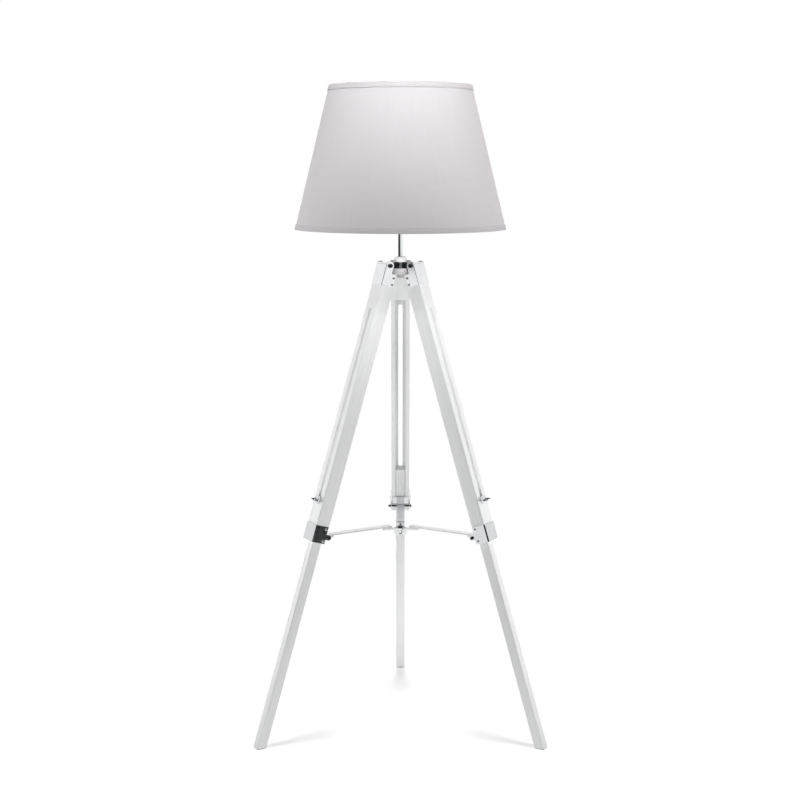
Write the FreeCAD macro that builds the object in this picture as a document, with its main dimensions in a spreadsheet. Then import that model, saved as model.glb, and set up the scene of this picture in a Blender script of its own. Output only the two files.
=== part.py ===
import FreeCAD, Part
import math
import os
import re
import Sketcher

os.makedirs("parts", exist_ok=True)
doc = FreeCAD.newDocument("TripodFloorLamp")

# Driving sizes in millimetres and degrees, each with a note on what it measures.
SIZES = {
    # stance of the legs
    "hinge_radius": (39.4, "pole axis to a leg's hinge bolt"),
    "hinge_height": (1058.3, "floor to the hinge bolts"),
    "leg_tilt": (17.48, "lean of a leg from the vertical"),
    # upper leg
    "leg_width": (44, "upper leg, side to side"),
    "leg_depth": (32.5, "upper leg, inner to outer face"),
    "hinge_inset": (8, "outer face to the hinge bolt"),
    "leg_top": (16, "hinge bolt down to the top of the wood"),
    "leg_bottom": (631, "hinge bolt down to the end of the upper leg"),
    "outer_wall": (8, "wood left between the groove and the outer face"),
    "groove_top": (79, "hinge bolt down to the groove's upper end"),
    "slot_top": (100, "hinge bolt down to the slot's upper end"),
    "slot_rise": (86, "end of the upper leg up to the slot's lower end"),
    "slot_width": (10, "slot in the outer wall"),
    "wood_round": (1.5, "rounding of the wood's long edges"),
    # lower leg
    "bar_size": (22, "lower leg, square section"),
    "bar_gap": (0.5, "play of the lower leg in the groove, each side"),
    "bar_overlap": (111, "lower leg inside the upper leg"),
    "pad_height": (2, "foot pad"),
    "pad_inset": (2, "edge of the foot to the edge of its pad"),
    # bent sheet fittings
    "sheet": (1.5, "thickness of caps and brackets"),
    "cap_bottom": (45, "hinge bolt down to the cap's lower edge"),
    "cap_inset": (3, "inner face of the leg to the edge of the side plates"),
    "bracket_height": (39, "bracket, along the leg"),
    "plate_width": (37, "clamp plate on the inner face"),
    "plate_height": (19, "clamp plate, along the leg"),
    "plate_rise": (3, "pivot bolt up to the clamp plate"),
    "screw_radius": (1.5, "wood screw shank"),
    "screw_length": (10, "wood screw below its head"),
    "screw_head": (3, "wood screw head radius"),
    "screw_rise": (1.4, "wood screw head height"),
    "screw_edge": (5, "inner edge of a side plate to its screws"),
    "fit_gap": (0.1, "radial play of fasteners in their holes"),
    # hinge bolt and pivot bolt
    "hinge_bolt": (2.5, "hinge bolt radius"),
    "pivot_bolt": (2, "pivot bolt radius"),
    "pivot_out": (4.6, "inner face of the leg to the pivot bolt"),
    "pivot_rise": (15.7, "end of the upper leg up to the pivot bolt"),
    "ear_radius": (6, "bracket ear round the pivot bolt"),
    "run_gap": (0.05, "radial running play of the hinges"),
    # slot bolt and wing nut
    "slot_bolt": (3, "slot bolt radius"),
    "slot_bolt_rise": (91, "end of the upper leg up to the slot bolt"),
    "slot_bolt_depth": (16, "slot bolt screwed into the lower leg"),
    "slot_bolt_tip": (4, "slot bolt beyond its wing nut"),
    "nut_radius": (6.5, "wing nut body radius"),
    "nut_height": (8, "wing nut body height"),
    "wing_span": (30, "wing nut, tip to tip"),
    "wing_radius": (6.5, "wing nut, round wings"),
    "wing_rise": (7.5, "flange of a wing nut to the middle of its wings"),
    "wing_thickness": (3, "wing nut, wings"),
    "washer_radius": (9, "flange under a wing nut"),
    "washer_height": (1.5, "flange under a wing nut"),
    # spreader
    "arm_width": (18, "arm channel, side to side"),
    "arm_height": (7, "arm channel height"),
    "arm_sheet": (1.5, "arm channel wall"),
    "arm_lip": (3, "arm channel height between its ends"),
    "arm_end": (20, "pivot bolt or inner pin to the low stretch of an arm"),
    "pin_reach": (32, "pole axis to an arm's inner pin"),
    "pin_radius": (2, "inner pin of an arm"),
    "arm_tip": (5, "inner pin to the arm's end"),
    "star_radius": (13, "round middle of the spreader plate"),
    "prong_width": (10, "prongs of the spreader plate"),
    "star_thickness": (3, "spreader plate"),
    "star_gap": (1, "arms down to the spreader plate"),
    "tongue_thickness": (4, "upright tongue under an arm"),
    "tongue_length": (10, "upright tongue, along the arm"),
    "pin_gap": (0.3, "inner pin down to its tongue"),
    "star_bolt": (3, "spreader bolt radius"),
    "star_head": (5, "spreader bolt head radius"),
    "star_head_height": (3, "spreader bolt head height"),
    # hub, collar, pole and bushing
    "hub_radius": (14, "hub drum"),
    "hub_rise": (6.7, "hinge bolts up to the top of the drum"),
    "hub_height": (14, "hub drum"),
    "flange_radius": (18.5, "hub flange"),
    "flange_height": (8, "hub flange"),
    "cone_radius": (7.5, "small end of the cone below the flange"),
    "cone_height": (7, "cone below the flange"),
    "lug_width": (16, "web of a lug"),
    "barrel_radius": (6.5, "barrel at the end of a lug"),
    "barrel_gap": (0.5, "barrel to the cap's side plate"),
    "collar_radius": (14.3, "collar on the hub"),
    "collar_height": (11, "collar on the hub"),
    "collar_edge": (2, "bevel of the collar"),
    "pole_radius": (5, "pole"),
    "pole_bore": (3.8, "bore of the pole"),
    "pole_length": (132, "pole, from the cone's small end to its top"),
    "bushing_height": (6, "cord bushing under the hub"),
    "cord_bore": (3.4, "hole for the cord in the bushing"),
    # lampholder and bulb
    "holder_grip": (18, "pole inside the lampholder"),
    "holder_radius": (19, "lampholder cap"),
    "holder_cap_height": (26, "lampholder cap"),
    "skirt_radius": (20, "lampholder skirt"),
    "skirt_height": (34, "lampholder skirt"),
    "holder_wall": (2.5, "walls of the lampholder"),
    "insert_height": (9, "contact block in the lampholder"),
    "contact_bore": (2, "hole for the contact in the insert"),
    "shell_radius": (13.7, "inside of the screw shell"),
    "shell_wall": (0.5, "screw shell"),
    "ring_radius": (28, "shade ring"),
    "ring_height": (7, "shade ring"),
    "ring_rise": (12, "bottom of the skirt to the carrier"),
    "thread_gap": (0.3, "shade ring to the skirt, and bulb to the screw shell"),
    "bulb_radius": (30, "bulb, widest part"),
    "bulb_height": (96, "bulb above the lampholder"),
    "bulb_wall": (1, "glass of the bulb"),
    # shade
    "shade_drop": (13, "lampholder down to the shade's lower edge"),
    "shade_height": (313, "shade"),
    "shade_low_radius": (234.7, "shade at the lower edge"),
    "shade_high_radius": (156.7, "shade at the upper edge"),
    "cloth": (1.2, "shade wall"),
    "trim": (0.8, "trim tape"),
    "trim_height": (12, "trim tape, along the shade"),
    "wire": (2, "radius of the shade's wires"),
    "wire_gap": (0.1, "glue between wire and trim"),
    "fitter_thickness": (2, "fitter ring of the carrier"),
    "fitter_width": (12, "fitter ring of the carrier"),
}

sheet = doc.addObject("Spreadsheet::Sheet", "Sizes")
for row, (alias, (value, note)) in enumerate(SIZES.items(), start=1):
    sheet.set(f"A{row}", note)
    sheet.set(f"B{row}", str(value))
    sheet.setAlias(f"B{row}", alias)
doc.recompute()


def formula(text):
    """The text as an expression that points at the cells of the sheet."""
    return re.sub(
        r"[a-z_]+", lambda word: f"Sizes.{word[0]}" if word[0] in SIZES else word[0], text
    )


def number(text):
    """Present value of a formula."""
    return float(sheet.evalExpression(formula(text)))


def bind(obj, prop, text):
    """Tie one property of an object to a formula."""
    obj.setExpression(prop, formula(text))


# Shapes that several pieces use

Z_AXIS = FreeCAD.Vector(0, 0, 1)
TURNS = {
    "x": FreeCAD.Rotation(FreeCAD.Vector(0, 1, 0), 90),
    "y": FreeCAD.Rotation(FreeCAD.Vector(1, 0, 0), -90),
    "z": FreeCAD.Rotation(),
}


def block(name, xs, ys, zs):
    """Rectangular block between three pairs of formulas."""
    obj = doc.addObject("Part::Box", name)
    for prop, axis, (low, high) in (("Length", "x", xs), ("Width", "y", ys), ("Height", "z", zs)):
        bind(obj, prop, f"({high}) - ({low})")
        bind(obj, f"Placement.Base.{axis}", low)
    return obj


def rod(name, radius, axis, start, end, **at):
    """Round bar along one axis, from start to end."""
    obj = doc.addObject("Part::Cylinder", name)
    bind(obj, "Radius", radius)
    bind(obj, "Height", f"({end}) - ({start})")
    obj.Placement = FreeCAD.Placement(FreeCAD.Vector(), TURNS[axis])
    for letter in "xyz":
        bind(obj, f"Placement.Base.{letter}", start if letter == axis else at.get(letter, "0"))
    return obj


def prism(name, sides, radius, axis, start, end, **at):
    """Regular prism along one axis; the radius reaches its corners."""
    obj = doc.addObject("Part::Prism", name)
    obj.Polygon = sides
    bind(obj, "Circumradius", radius)
    bind(obj, "Height", f"({end}) - ({start})")
    obj.Placement = FreeCAD.Placement(FreeCAD.Vector(), TURNS[axis])
    for letter in "xyz":
        bind(obj, f"Placement.Base.{letter}", start if letter == axis else at.get(letter, "0"))
    return obj


def outline(body, name, role, corners):
    """Closed straight-sided sketch on an origin plane, every corner bound to formulas."""
    plane = next(f for f in body.Origin.OriginFeatures if f.Role == role)
    sketch = body.newObject("Sketcher::SketchObject", name)
    sketch.AttachmentSupport = [(plane, "")]
    sketch.MapMode = "FlatFace"
    points = [FreeCAD.Vector(number(a), number(b), 0) for a, b in corners]
    for i, point in enumerate(points):
        sketch.addGeometry(Part.LineSegment(point, points[(i + 1) % len(points)]))
    for i in range(len(points)):
        sketch.addConstraint(Sketcher.Constraint("Coincident", i, 2, (i + 1) % len(points), 1))
    for i, pair in enumerate(corners):
        for kind, text in zip(("DistanceX", "DistanceY"), pair):
            index = sketch.addConstraint(Sketcher.Constraint(kind, -1, 1, i, 1, number(text)))
            bind(sketch, f"Constraints[{index}]", text)
    return sketch


def turned(name, corners):
    """Body turned about the vertical axis from an outline of radius and height."""
    body = doc.addObject("PartDesign::Body", name)
    sketch = outline(body, name + "_outline", "XZ_Plane", corners)
    turn = body.newObject("PartDesign::Revolution", name + "_turn")
    turn.Profile = sketch
    turn.ReferenceAxis = (sketch, ["V_Axis"])
    return body


def padded(name, role, corners, length):
    """Body made from an outline, as thick as the length, half to each side of its plane."""
    body = doc.addObject("PartDesign::Body", name)
    sketch = outline(body, name + "_outline", role, corners)
    pad = body.newObject("PartDesign::Pad", name + "_pad")
    pad.Profile = sketch
    pad.SideType = "Symmetric"
    bind(pad, "Length", length)
    return body


def rounded(body, radius):
    """The body with its upright edges rounded."""
    doc.recompute()
    pad = body.Tip
    half = pad.Shape.BoundBox.ZLength/2
    edges = [f"Edge{i}" for i, edge in enumerate(pad.Shape.Edges, start=1) if edge.BoundBox.ZLength > half]
    fillet = body.newObject("PartDesign::Fillet", body.Name + "_rounding")
    fillet.Base = (pad, edges)
    bind(fillet, "Radius", radius)
    return body


def tube(name, outer, inner, low, high):
    """Turned ring with a round bore."""
    return turned(name, [(inner, low), (outer, low), (outer, high), (inner, high)])


def joined(name, shapes):
    """Several touching shapes as one."""
    obj = doc.addObject("Part::MultiFuse", name)
    obj.Shapes = shapes
    obj.Refine = True
    return obj


def shared(name, shapes):
    """What several shapes have in common."""
    obj = doc.addObject("Part::MultiCommon", name)
    obj.Shapes = shapes
    obj.Refine = True
    return obj


def less(name, base, tools):
    """The base without the tools."""
    obj = doc.addObject("Part::Cut", name)
    obj.Base = base
    obj.Tool = tools[0] if len(tools) == 1 else joined(name + "_tools", tools)
    obj.Refine = True
    return obj


def group(name, shapes):
    """Separate solids kept together in one piece."""
    obj = doc.addObject("Part::Compound", name)
    obj.Links = shapes
    return obj


PIECES = []


def piece(label, obj, placement=FreeCAD.Placement()):
    """Register a finished sub-part under its label, in its place."""
    obj.Label = label
    PIECES.append((obj, placement))


# Where the legs stand

# directions of the legs seen from above, in degrees from the x axis
LEGS = {"left": 90 + 360/3, "right": 90 - 360/3, "rear": 90}

# a leg's own axes: x side to side, y outward, z up along the leg, origin on its hinge bolt
OUTER = "hinge_inset"
INNER = "(hinge_inset - leg_depth)"
FLOOR = "(hinge_inset - outer_wall)"
BAR_OUTER = f"({FLOOR} - bar_gap)"
BAR_INNER = f"({FLOOR} - bar_gap - bar_size)"
SLOT_BOTTOM = "(leg_bottom - slot_rise)"
SLOT_BOLT = "(leg_bottom - slot_bolt_rise)"
BAR_TOP = "(leg_bottom - bar_overlap)"
BRACKET_TOP = "(leg_bottom - bracket_height)"
PIVOT_Y = f"({INNER} - pivot_out)"
PIVOT_DROP = "(leg_bottom - pivot_rise)"
PLATE_EDGE = f"({INNER} + cap_inset)"
# the pivot bolt seen from the pole axis and the floor
PIVOT_R = f"(hinge_radius + {PIVOT_Y}*cos(leg_tilt) + {PIVOT_DROP}*sin(leg_tilt))"
PIVOT_Z = f"(hinge_height + {PIVOT_Y}*sin(leg_tilt) - {PIVOT_DROP}*cos(leg_tilt))"
# levels of the hub, the pole, the lampholder and the shade, each from the one below
HUB_TOP = "(hinge_height + hub_rise)"
FLANGE_TOP = f"({HUB_TOP} - hub_height)"
FLANGE_BOTTOM = f"({FLANGE_TOP} - flange_height)"
CONE_BOTTOM = f"({FLANGE_BOTTOM} - cone_height)"
POLE_TOP = f"({CONE_BOTTOM} + pole_length)"
HOLDER_BOTTOM = f"({POLE_TOP} - holder_grip)"
SHADE_BOTTOM = f"({HOLDER_BOTTOM} - shade_drop)"
SHADE_TOP = f"({SHADE_BOTTOM} + shade_height)"


def leg_place(azimuth):
    """Placement of a leg's own axes in the lamp."""
    angle = math.radians(azimuth)
    reach = number("hinge_radius")
    base = FreeCAD.Vector(reach * math.cos(angle), reach * math.sin(angle), number("hinge_height"))
    lean = FreeCAD.Rotation(FreeCAD.Vector(1, 0, 0), number("leg_tilt"))
    return FreeCAD.Placement(base, FreeCAD.Rotation(Z_AXIS, azimuth - 90).multiply(lean))


def arm_place(azimuth):
    """Placement of an arm's own axes: level, origin on its pivot bolt, y outward."""
    angle = math.radians(azimuth)
    reach = number(PIVOT_R)
    base = FreeCAD.Vector(reach * math.cos(angle), reach * math.sin(angle), number(PIVOT_Z))
    return FreeCAD.Placement(base, FreeCAD.Rotation(Z_AXIS, azimuth - 90))


def turn_place(azimuth):
    """Placement that only turns a piece from the y axis to a leg's direction."""
    return FreeCAD.Placement(FreeCAD.Vector(), FreeCAD.Rotation(Z_AXIS, azimuth - 90))


SCREW_ROWS = {
    "a": "-(leg_top + screw_head + 5)",
    "b": "-(cap_bottom - screw_head - 3)",
    "c": f"-({BRACKET_TOP} + screw_head + 3)",
    "d": "-(leg_bottom - screw_head - 3)",
}
SCREW_Y = f"({PLATE_EDGE} + screw_edge)"


def screw_bars(name, rows, radius, low, high):
    """Round bars at the screw positions of some rows, from low to high on each side of a leg."""
    bars = []
    for row in rows:
        level = SCREW_ROWS[row]
        bars.append(rod(f"{name}_{row}1", radius, "x", low, high, y=SCREW_Y, z=level))
        bars.append(rod(f"{name}_{row}2", radius, "x", f"-({high})", f"-({low})", y=SCREW_Y, z=level))
    return bars


def make_upper_leg(leg):
    """Wooden upper leg with its groove, slot and screw holes."""
    name = f"upper_leg_{leg}"
    wood = padded(
        name + "_blank",
        "YZ_Plane",
        [(INNER, "-leg_bottom"), (OUTER, "-leg_bottom"), (OUTER, "-leg_top"), (INNER, "-leg_top")],
        "leg_width",
    )
    groove = block(
        name + "_groove",
        ("-bar_size/2 - bar_gap", "bar_size/2 + bar_gap"),
        (f"{INNER} - 1", FLOOR),
        ("-leg_bottom - 1", "-groove_top"),
    )
    slot = block(
        name + "_slot",
        ("-slot_width/2", "slot_width/2"),
        (f"{FLOOR} - 1", f"{OUTER} + 1"),
        (f"-{SLOT_BOTTOM} + slot_width/2", "-slot_top - slot_width/2"),
    )
    ends = [
        rod(f"{name}_slot_{end}", "slot_width/2", "y", f"{FLOOR} - 1", f"{OUTER} + 1", z=level)
        for end, level in (
            ("top", "-slot_top - slot_width/2"),
            ("bottom", f"-{SLOT_BOTTOM} + slot_width/2"),
        )
    ]
    holes = screw_bars(
        name + "_hole",
        "abcd",
        "screw_radius + fit_gap",
        "leg_width/2 - screw_length - 1",
        "leg_width/2 + 1",
    )
    return less(name, rounded(wood, "wood_round"), [groove, slot, *ends, *holes])


def make_lower_leg(leg):
    """Square bar with a level foot and a blind hole for the slot bolt."""
    name = f"lower_leg_{leg}"
    level = f"(-(hinge_height - pad_height) + {{}}*-sin(leg_tilt))/cos(leg_tilt)"
    bar = padded(
        name + "_blank",
        "YZ_Plane",
        [
            (BAR_INNER, level.format(BAR_INNER)),
            (BAR_OUTER, level.format(BAR_OUTER)),
            (BAR_OUTER, f"-{BAR_TOP}"),
            (BAR_INNER, f"-{BAR_TOP}"),
        ],
        "bar_size",
    )
    hole = rod(
        name + "_hole",
        "slot_bolt + fit_gap",
        "y",
        f"{BAR_OUTER} - slot_bolt_depth",
        f"{BAR_OUTER} + 1",
        z=f"-{SLOT_BOLT}",
    )
    return less(name, rounded(bar, "wood_round"), [hole])


def make_foot_pad(leg):
    """Thin level pad under the foot."""
    foot = f"(({{}})/cos(leg_tilt) + hinge_radius + hinge_height*sin(leg_tilt)/cos(leg_tilt))"
    return group(
        f"foot_pad_{leg}",
        [
            block(
                f"foot_pad_{leg}_block",
                ("-bar_size/2 + pad_inset", "bar_size/2 - pad_inset"),
                (foot.format(BAR_INNER) + " + pad_inset", foot.format(BAR_OUTER) + " - pad_inset"),
                ("0", "pad_height"),
            )
        ],
    )


SIDE = "(leg_width/2 + sheet)"


def bar_of(name, half, outer, low, high, radius):
    """Bar along a leg with round edges, up to an outer level, reaching in past the bracket's ears."""
    inner = f"({PIVOT_Y} - 2*ear_radius)"
    corners = [(inner, low), (outer, low), (outer, high), (inner, high)]
    return rounded(padded(name, "YZ_Plane", corners, f"2*{half}"), radius)


def make_fitting(name, top, bottom, extra, holes):
    """Sheet bent round the outer and side faces of a leg, between two levels, with extra ears."""
    skin = f"({OUTER} + sheet)"
    above = f"({top} + leg_width)"
    shell = block(name + "_shell", (f"-{SIDE}", SIDE), (PLATE_EDGE, skin), (bottom, top))
    solid = joined(name + "_solid", [shell, *extra])
    bend = bar_of(name + "_bend", SIDE, skin, bottom, above, "wood_round + sheet")
    room = bar_of(name + "_room", "leg_width/2", OUTER, f"{bottom} - 1", above, "wood_round")
    return less(name, shared(name + "_bent", [solid, bend]), [room, *holes])


def make_leg_cap(leg):
    """Cap with two round ears that carry the hinge bolt."""
    name = f"leg_cap_{leg}"
    round_top = f"({OUTER} + sheet)"
    dome = rod(name + "_dome", round_top, "x", f"-{SIDE}", SIDE)
    neck = block(name + "_neck", (f"-{SIDE}", SIDE), (f"-{round_top}", round_top), ("-leg_top - 1", "0"))
    bolt = rod(name + "_bolt", "hinge_bolt + fit_gap", "x", f"-{SIDE} - 1", f"{SIDE} + 1")
    holes = screw_bars(name + "_hole", "ab", "screw_radius + fit_gap", "leg_width/2 - 1", f"{SIDE} + 1")
    return make_fitting(name, "-leg_top", "-cap_bottom", [dome, neck], [bolt, *holes])


def make_leg_bracket(leg):
    """Bracket with two ears that carry the pivot bolt."""
    name = f"leg_bracket_{leg}"
    ear = rod(name + "_ear", "ear_radius", "x", f"-{SIDE}", SIDE, y=PIVOT_Y, z=f"-{PIVOT_DROP}")
    neck = block(
        name + "_neck",
        (f"-{SIDE}", SIDE),
        (PIVOT_Y, f"{PLATE_EDGE} + 1"),
        (f"-{PIVOT_DROP} - ear_radius", f"-{PIVOT_DROP} + ear_radius"),
    )
    bolt = rod(
        name + "_bolt",
        "pivot_bolt + fit_gap",
        "x",
        f"-{SIDE} - 1",
        f"{SIDE} + 1",
        y=PIVOT_Y,
        z=f"-{PIVOT_DROP}",
    )
    holes = screw_bars(name + "_hole", "cd", "screw_radius + fit_gap", "leg_width/2 - 1", f"{SIDE} + 1")
    return make_fitting(name, f"-{BRACKET_TOP}", "-leg_bottom", [ear, neck], [bolt, *holes])


def make_leg_screws(leg):
    """The eight wood screws of a leg's cap and bracket."""
    name = f"leg_screws_{leg}"
    shanks = screw_bars(name + "_shank", "abcd", "screw_radius", f"{SIDE} - screw_length", SIDE)
    heads = screw_bars(name + "_head", "abcd", "screw_head", SIDE, f"{SIDE} + screw_rise")
    screws = [joined(f"{shank.Name}_screw", [shank, head]) for shank, head in zip(shanks, heads)]
    return group(name, screws)


# the side of each leg that carries the nuts of its bolts, along the leg's x axis
NUT_SIDE = {"left": -1, "right": 1, "rear": -1}
# proportions of bolt heads and nuts, in radii of the bolt
HEAD_RADIUS = 1.8
HEAD_HEIGHT = 1.5
NUT_CORNER = 1.9
NUT_HEIGHT = 1.6
THREAD_END = 3


def make_cross_bolt(name, leg, radius, **at):
    """Bolt right through both side plates of a leg, with a round head and a hexagon nut."""

    def span(low, high):
        return (low, high) if NUT_SIDE[leg] > 0 else (f"-({high})", f"-({low})")

    head_end = f"-{SIDE} - {radius}*{HEAD_HEIGHT}"
    nut_end = f"{SIDE} + {radius}*{NUT_HEIGHT}"
    thread_end = f"{SIDE} + {radius}*{THREAD_END}"
    shank = rod(name + "_shank", radius, "x", *span(head_end, thread_end), **at)
    head = rod(name + "_head", f"{radius}*{HEAD_RADIUS}", "x", *span(head_end, f"-{SIDE}"), **at)
    bolt = joined(name + "_bolt", [shank, head])
    hexagon = prism(name + "_hexagon", 6, f"{radius}*{NUT_CORNER}", "x", *span(SIDE, nut_end), **at)
    thread = rod(name + "_thread", f"{radius} + fit_gap", "x", *span(f"{SIDE} - 1", f"{nut_end} + 1"), **at)
    return group(name, [bolt, less(name + "_nut", hexagon, [thread])])


def make_clamp_plate(leg):
    """Small plate across the groove above the pivot bolt."""
    name = f"clamp_plate_{leg}"
    return group(
        name,
        [
            block(
                name + "_block",
                ("-plate_width/2", "plate_width/2"),
                (f"{INNER} - sheet", INNER),
                (f"-{PIVOT_DROP} + plate_rise", f"-{PIVOT_DROP} + plate_rise + plate_height"),
            )
        ],
    )


def make_slot_bolt(leg):
    """Headless bolt, screwed into the lower leg and reaching out through the slot."""
    name = f"slot_bolt_{leg}"
    root = f"{BAR_OUTER} - slot_bolt_depth"
    tip = f"{OUTER} + washer_height + nut_height + slot_bolt_tip"
    return group(name, [rod(name + "_shank", "slot_bolt", "y", root, tip, z=f"-{SLOT_BOLT}")])


def wing_nut(name, axis, sign, base, bore, **at):
    """Wing nut with a flange, standing on the base level and pointing along the sign."""

    def level(rise):
        return f"{base} + {rise}" if sign > 0 else f"{base} - ({rise})"

    def span(low, high):
        return (level(low), level(high)) if sign > 0 else (level(high), level(low))

    flange = rod(name + "_flange", "washer_radius", axis, *span("0", "washer_height"), **at)
    core = rod(name + "_core", "nut_radius", axis, *span("0", "washer_height + nut_height"), **at)
    wings = []
    for side, reach in enumerate(("-wing_span/2 + wing_radius", "wing_span/2 - wing_radius")):
        centre = {**at, "x": reach, axis: level("washer_height + wing_rise")}
        across = "z" if axis == "y" else "y"
        middle = at.get(across, "0")
        edges = (f"{middle} - wing_thickness/2", f"{middle} + wing_thickness/2")
        wings.append(rod(f"{name}_wing{side}", "wing_radius", across, *edges, **centre))
    hole = rod(name + "_bore", bore, axis, *span("-1", "washer_height + wing_rise + wing_radius + 1"), **at)
    return less(name, joined(name + "_solid", [flange, core, *wings]), [hole])


def make_spreader_arm(leg):
    """Channel open below, low between its ends, turning on the pivot bolt, with a hole for the inner pin."""
    name = f"spreader_arm_{leg}"
    inner_pin = f"(-({PIVOT_R} - pin_reach))"
    half = "arm_width/2"
    channel = block(
        name + "_channel",
        (f"-{half}", half),
        (f"{inner_pin} - arm_tip", "arm_height/2"),
        ("-arm_height/2", "arm_height/2"),
    )
    room = block(
        name + "_room",
        (f"-{half} + arm_sheet", f"{half} - arm_sheet"),
        (f"{inner_pin} - arm_tip - 1", "arm_height/2 + 1"),
        ("-arm_height/2 - 1", "arm_height/2 - arm_sheet"),
    )
    corners = block(
        name + "_corner", (f"-{half} - 1", f"{half} + 1"), ("0", "arm_height"), ("-arm_height", "arm_height")
    )
    rounding = rod(name + "_round", "arm_height/2", "x", f"-{half} - 2", f"{half} + 2")
    pivot = rod(name + "_pivot", "pivot_bolt + run_gap", "x", f"-{half} - 1", f"{half} + 1")
    pin = rod(name + "_pin", "pin_radius + fit_gap", "x", f"-{half} - 1", f"{half} + 1", y=inner_pin)
    low_stretch = block(
        name + "_low",
        (f"-{half} - 1", f"{half} + 1"),
        (f"{inner_pin} + arm_end", "-arm_end"),
        ("-arm_height/2 - 1", "arm_height/2 - arm_lip"),
    )
    return less(name, channel, [room, low_stretch, less(name + "_end", corners, [rounding]), pivot, pin])


def make_arm_pin(leg):
    """Rivet through the inner end of an arm."""
    name = f"arm_pin_{leg}"
    inner_pin = f"(-({PIVOT_R} - pin_reach))"
    half = "arm_width/2"
    shank = rod(name + "_shank", "pin_radius", "x", f"-{half} - 1", f"{half} + 1", y=inner_pin)
    heads = [
        rod(f"{name}_head{i}", "pin_radius*1.6", "x", low, high, y=inner_pin)
        for i, (low, high) in enumerate(((f"-{half} - 1.2", f"-{half}"), (half, f"{half} + 1.2")))
    ]
    return joined(name, [shank, *heads])


for leg, azimuth in LEGS.items():
    place = leg_place(azimuth)
    piece(f"upper_leg_{leg}", make_upper_leg(leg), place)
    piece(f"lower_leg_{leg}", make_lower_leg(leg), place)
    piece(f"foot_pad_{leg}", make_foot_pad(leg), turn_place(azimuth))
    piece(f"leg_cap_{leg}", make_leg_cap(leg), place)
    piece(f"leg_bracket_{leg}", make_leg_bracket(leg), place)
    piece(f"leg_screws_{leg}", make_leg_screws(leg), place)
    piece(f"clamp_plate_{leg}", make_clamp_plate(leg), place)
    piece(f"hinge_bolt_{leg}", make_cross_bolt(f"hinge_bolt_{leg}", leg, "hinge_bolt"), place)
    piece(
        f"pivot_bolt_{leg}",
        make_cross_bolt(f"pivot_bolt_{leg}", leg, "pivot_bolt", y=PIVOT_Y, z=f"-{PIVOT_DROP}"),
        place,
    )
    piece(f"slot_bolt_{leg}", make_slot_bolt(leg), place)
    piece(
        f"wing_nut_{leg}",
        wing_nut(f"wing_nut_{leg}", "y", 1, OUTER, "slot_bolt + run_gap", z=f"-{SLOT_BOLT}"),
        place,
    )
    piece(f"spreader_arm_{leg}", make_spreader_arm(leg), arm_place(azimuth))
    piece(f"arm_pin_{leg}", make_arm_pin(leg), arm_place(azimuth))


# Spreader plate below the arms, with an upright tongue under each arm's pin

ARM_BOTTOM = f"({PIVOT_Z} - arm_height/2)"
STAR_TOP = f"({ARM_BOTTOM} - star_gap)"
STAR_BOTTOM = f"({STAR_TOP} - star_thickness)"

plate = rod("star_disc", "star_radius", "z", STAR_BOTTOM, STAR_TOP)
prongs = []
for leg, azimuth in LEGS.items():
    flat = block(
        f"prong_{leg}_flat",
        ("-prong_width/2", "prong_width/2"),
        ("star_bolt + 2", "pin_reach + pin_radius"),
        (STAR_BOTTOM, STAR_TOP),
    )
    tongue = block(
        f"prong_{leg}_tongue",
        ("-tongue_thickness/2", "tongue_thickness/2"),
        ("pin_reach + pin_radius - tongue_length", "pin_reach + pin_radius"),
        (STAR_BOTTOM, f"{PIVOT_Z} - pin_radius - pin_gap"),
    )
    prong = joined(f"prong_{leg}", [flat, tongue])
    prong.Placement = turn_place(azimuth)
    prongs.append(prong)
star_hole = rod("star_hole", "star_bolt + fit_gap", "z", f"{STAR_BOTTOM} - 1", f"{STAR_TOP} + 1")
piece("spreader_plate", less("spreader_plate", joined("star_solid", [plate, *prongs]), [star_hole]))

star_shank = rod(
    "star_shank", "star_bolt", "z", f"{STAR_BOTTOM} - washer_height - nut_height - 3", f"{STAR_TOP} + 1"
)
star_head = rod("star_head_disc", "star_head", "z", STAR_TOP, f"{STAR_TOP} + star_head_height")
piece("spreader_bolt", joined("spreader_bolt", [star_shank, star_head]))
piece("spreader_wing_nut", wing_nut("spreader_wing_nut", "z", -1, STAR_BOTTOM, "star_bolt + run_gap"))


# Hub with three lugs, collar, pole and cord bushing

drum = turned(
    "hub_drum",
    [
        ("pole_radius + fit_gap", CONE_BOTTOM),
        ("cone_radius", CONE_BOTTOM),
        ("flange_radius", FLANGE_BOTTOM),
        ("flange_radius", FLANGE_TOP),
        ("hub_radius", FLANGE_TOP),
        ("hub_radius", HUB_TOP),
        ("pole_radius + fit_gap", HUB_TOP),
    ],
)
barrel_half = "(leg_width/2 - barrel_gap)"
lugs = []
for leg, azimuth in LEGS.items():
    web = block(
        f"lug_{leg}_web",
        ("-lug_width/2", "lug_width/2"),
        ("hub_radius - 2", "hinge_radius"),
        ("hinge_height - barrel_radius", "hinge_height + barrel_radius"),
    )
    eye = {"y": "hinge_radius", "z": "hinge_height"}
    barrel = rod(f"lug_{leg}_barrel", "barrel_radius", "x", f"-{barrel_half}", barrel_half, **eye)
    bore = rod(f"lug_{leg}_bore", "hinge_bolt + run_gap", "x", "-leg_width", "leg_width", **eye)
    lug = less(f"lug_{leg}", joined(f"lug_{leg}_solid", [web, barrel]), [bore])
    lug.Placement = turn_place(azimuth)
    lugs.append(lug)
piece("hub", joined("hub", [drum, *lugs]))

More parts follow.
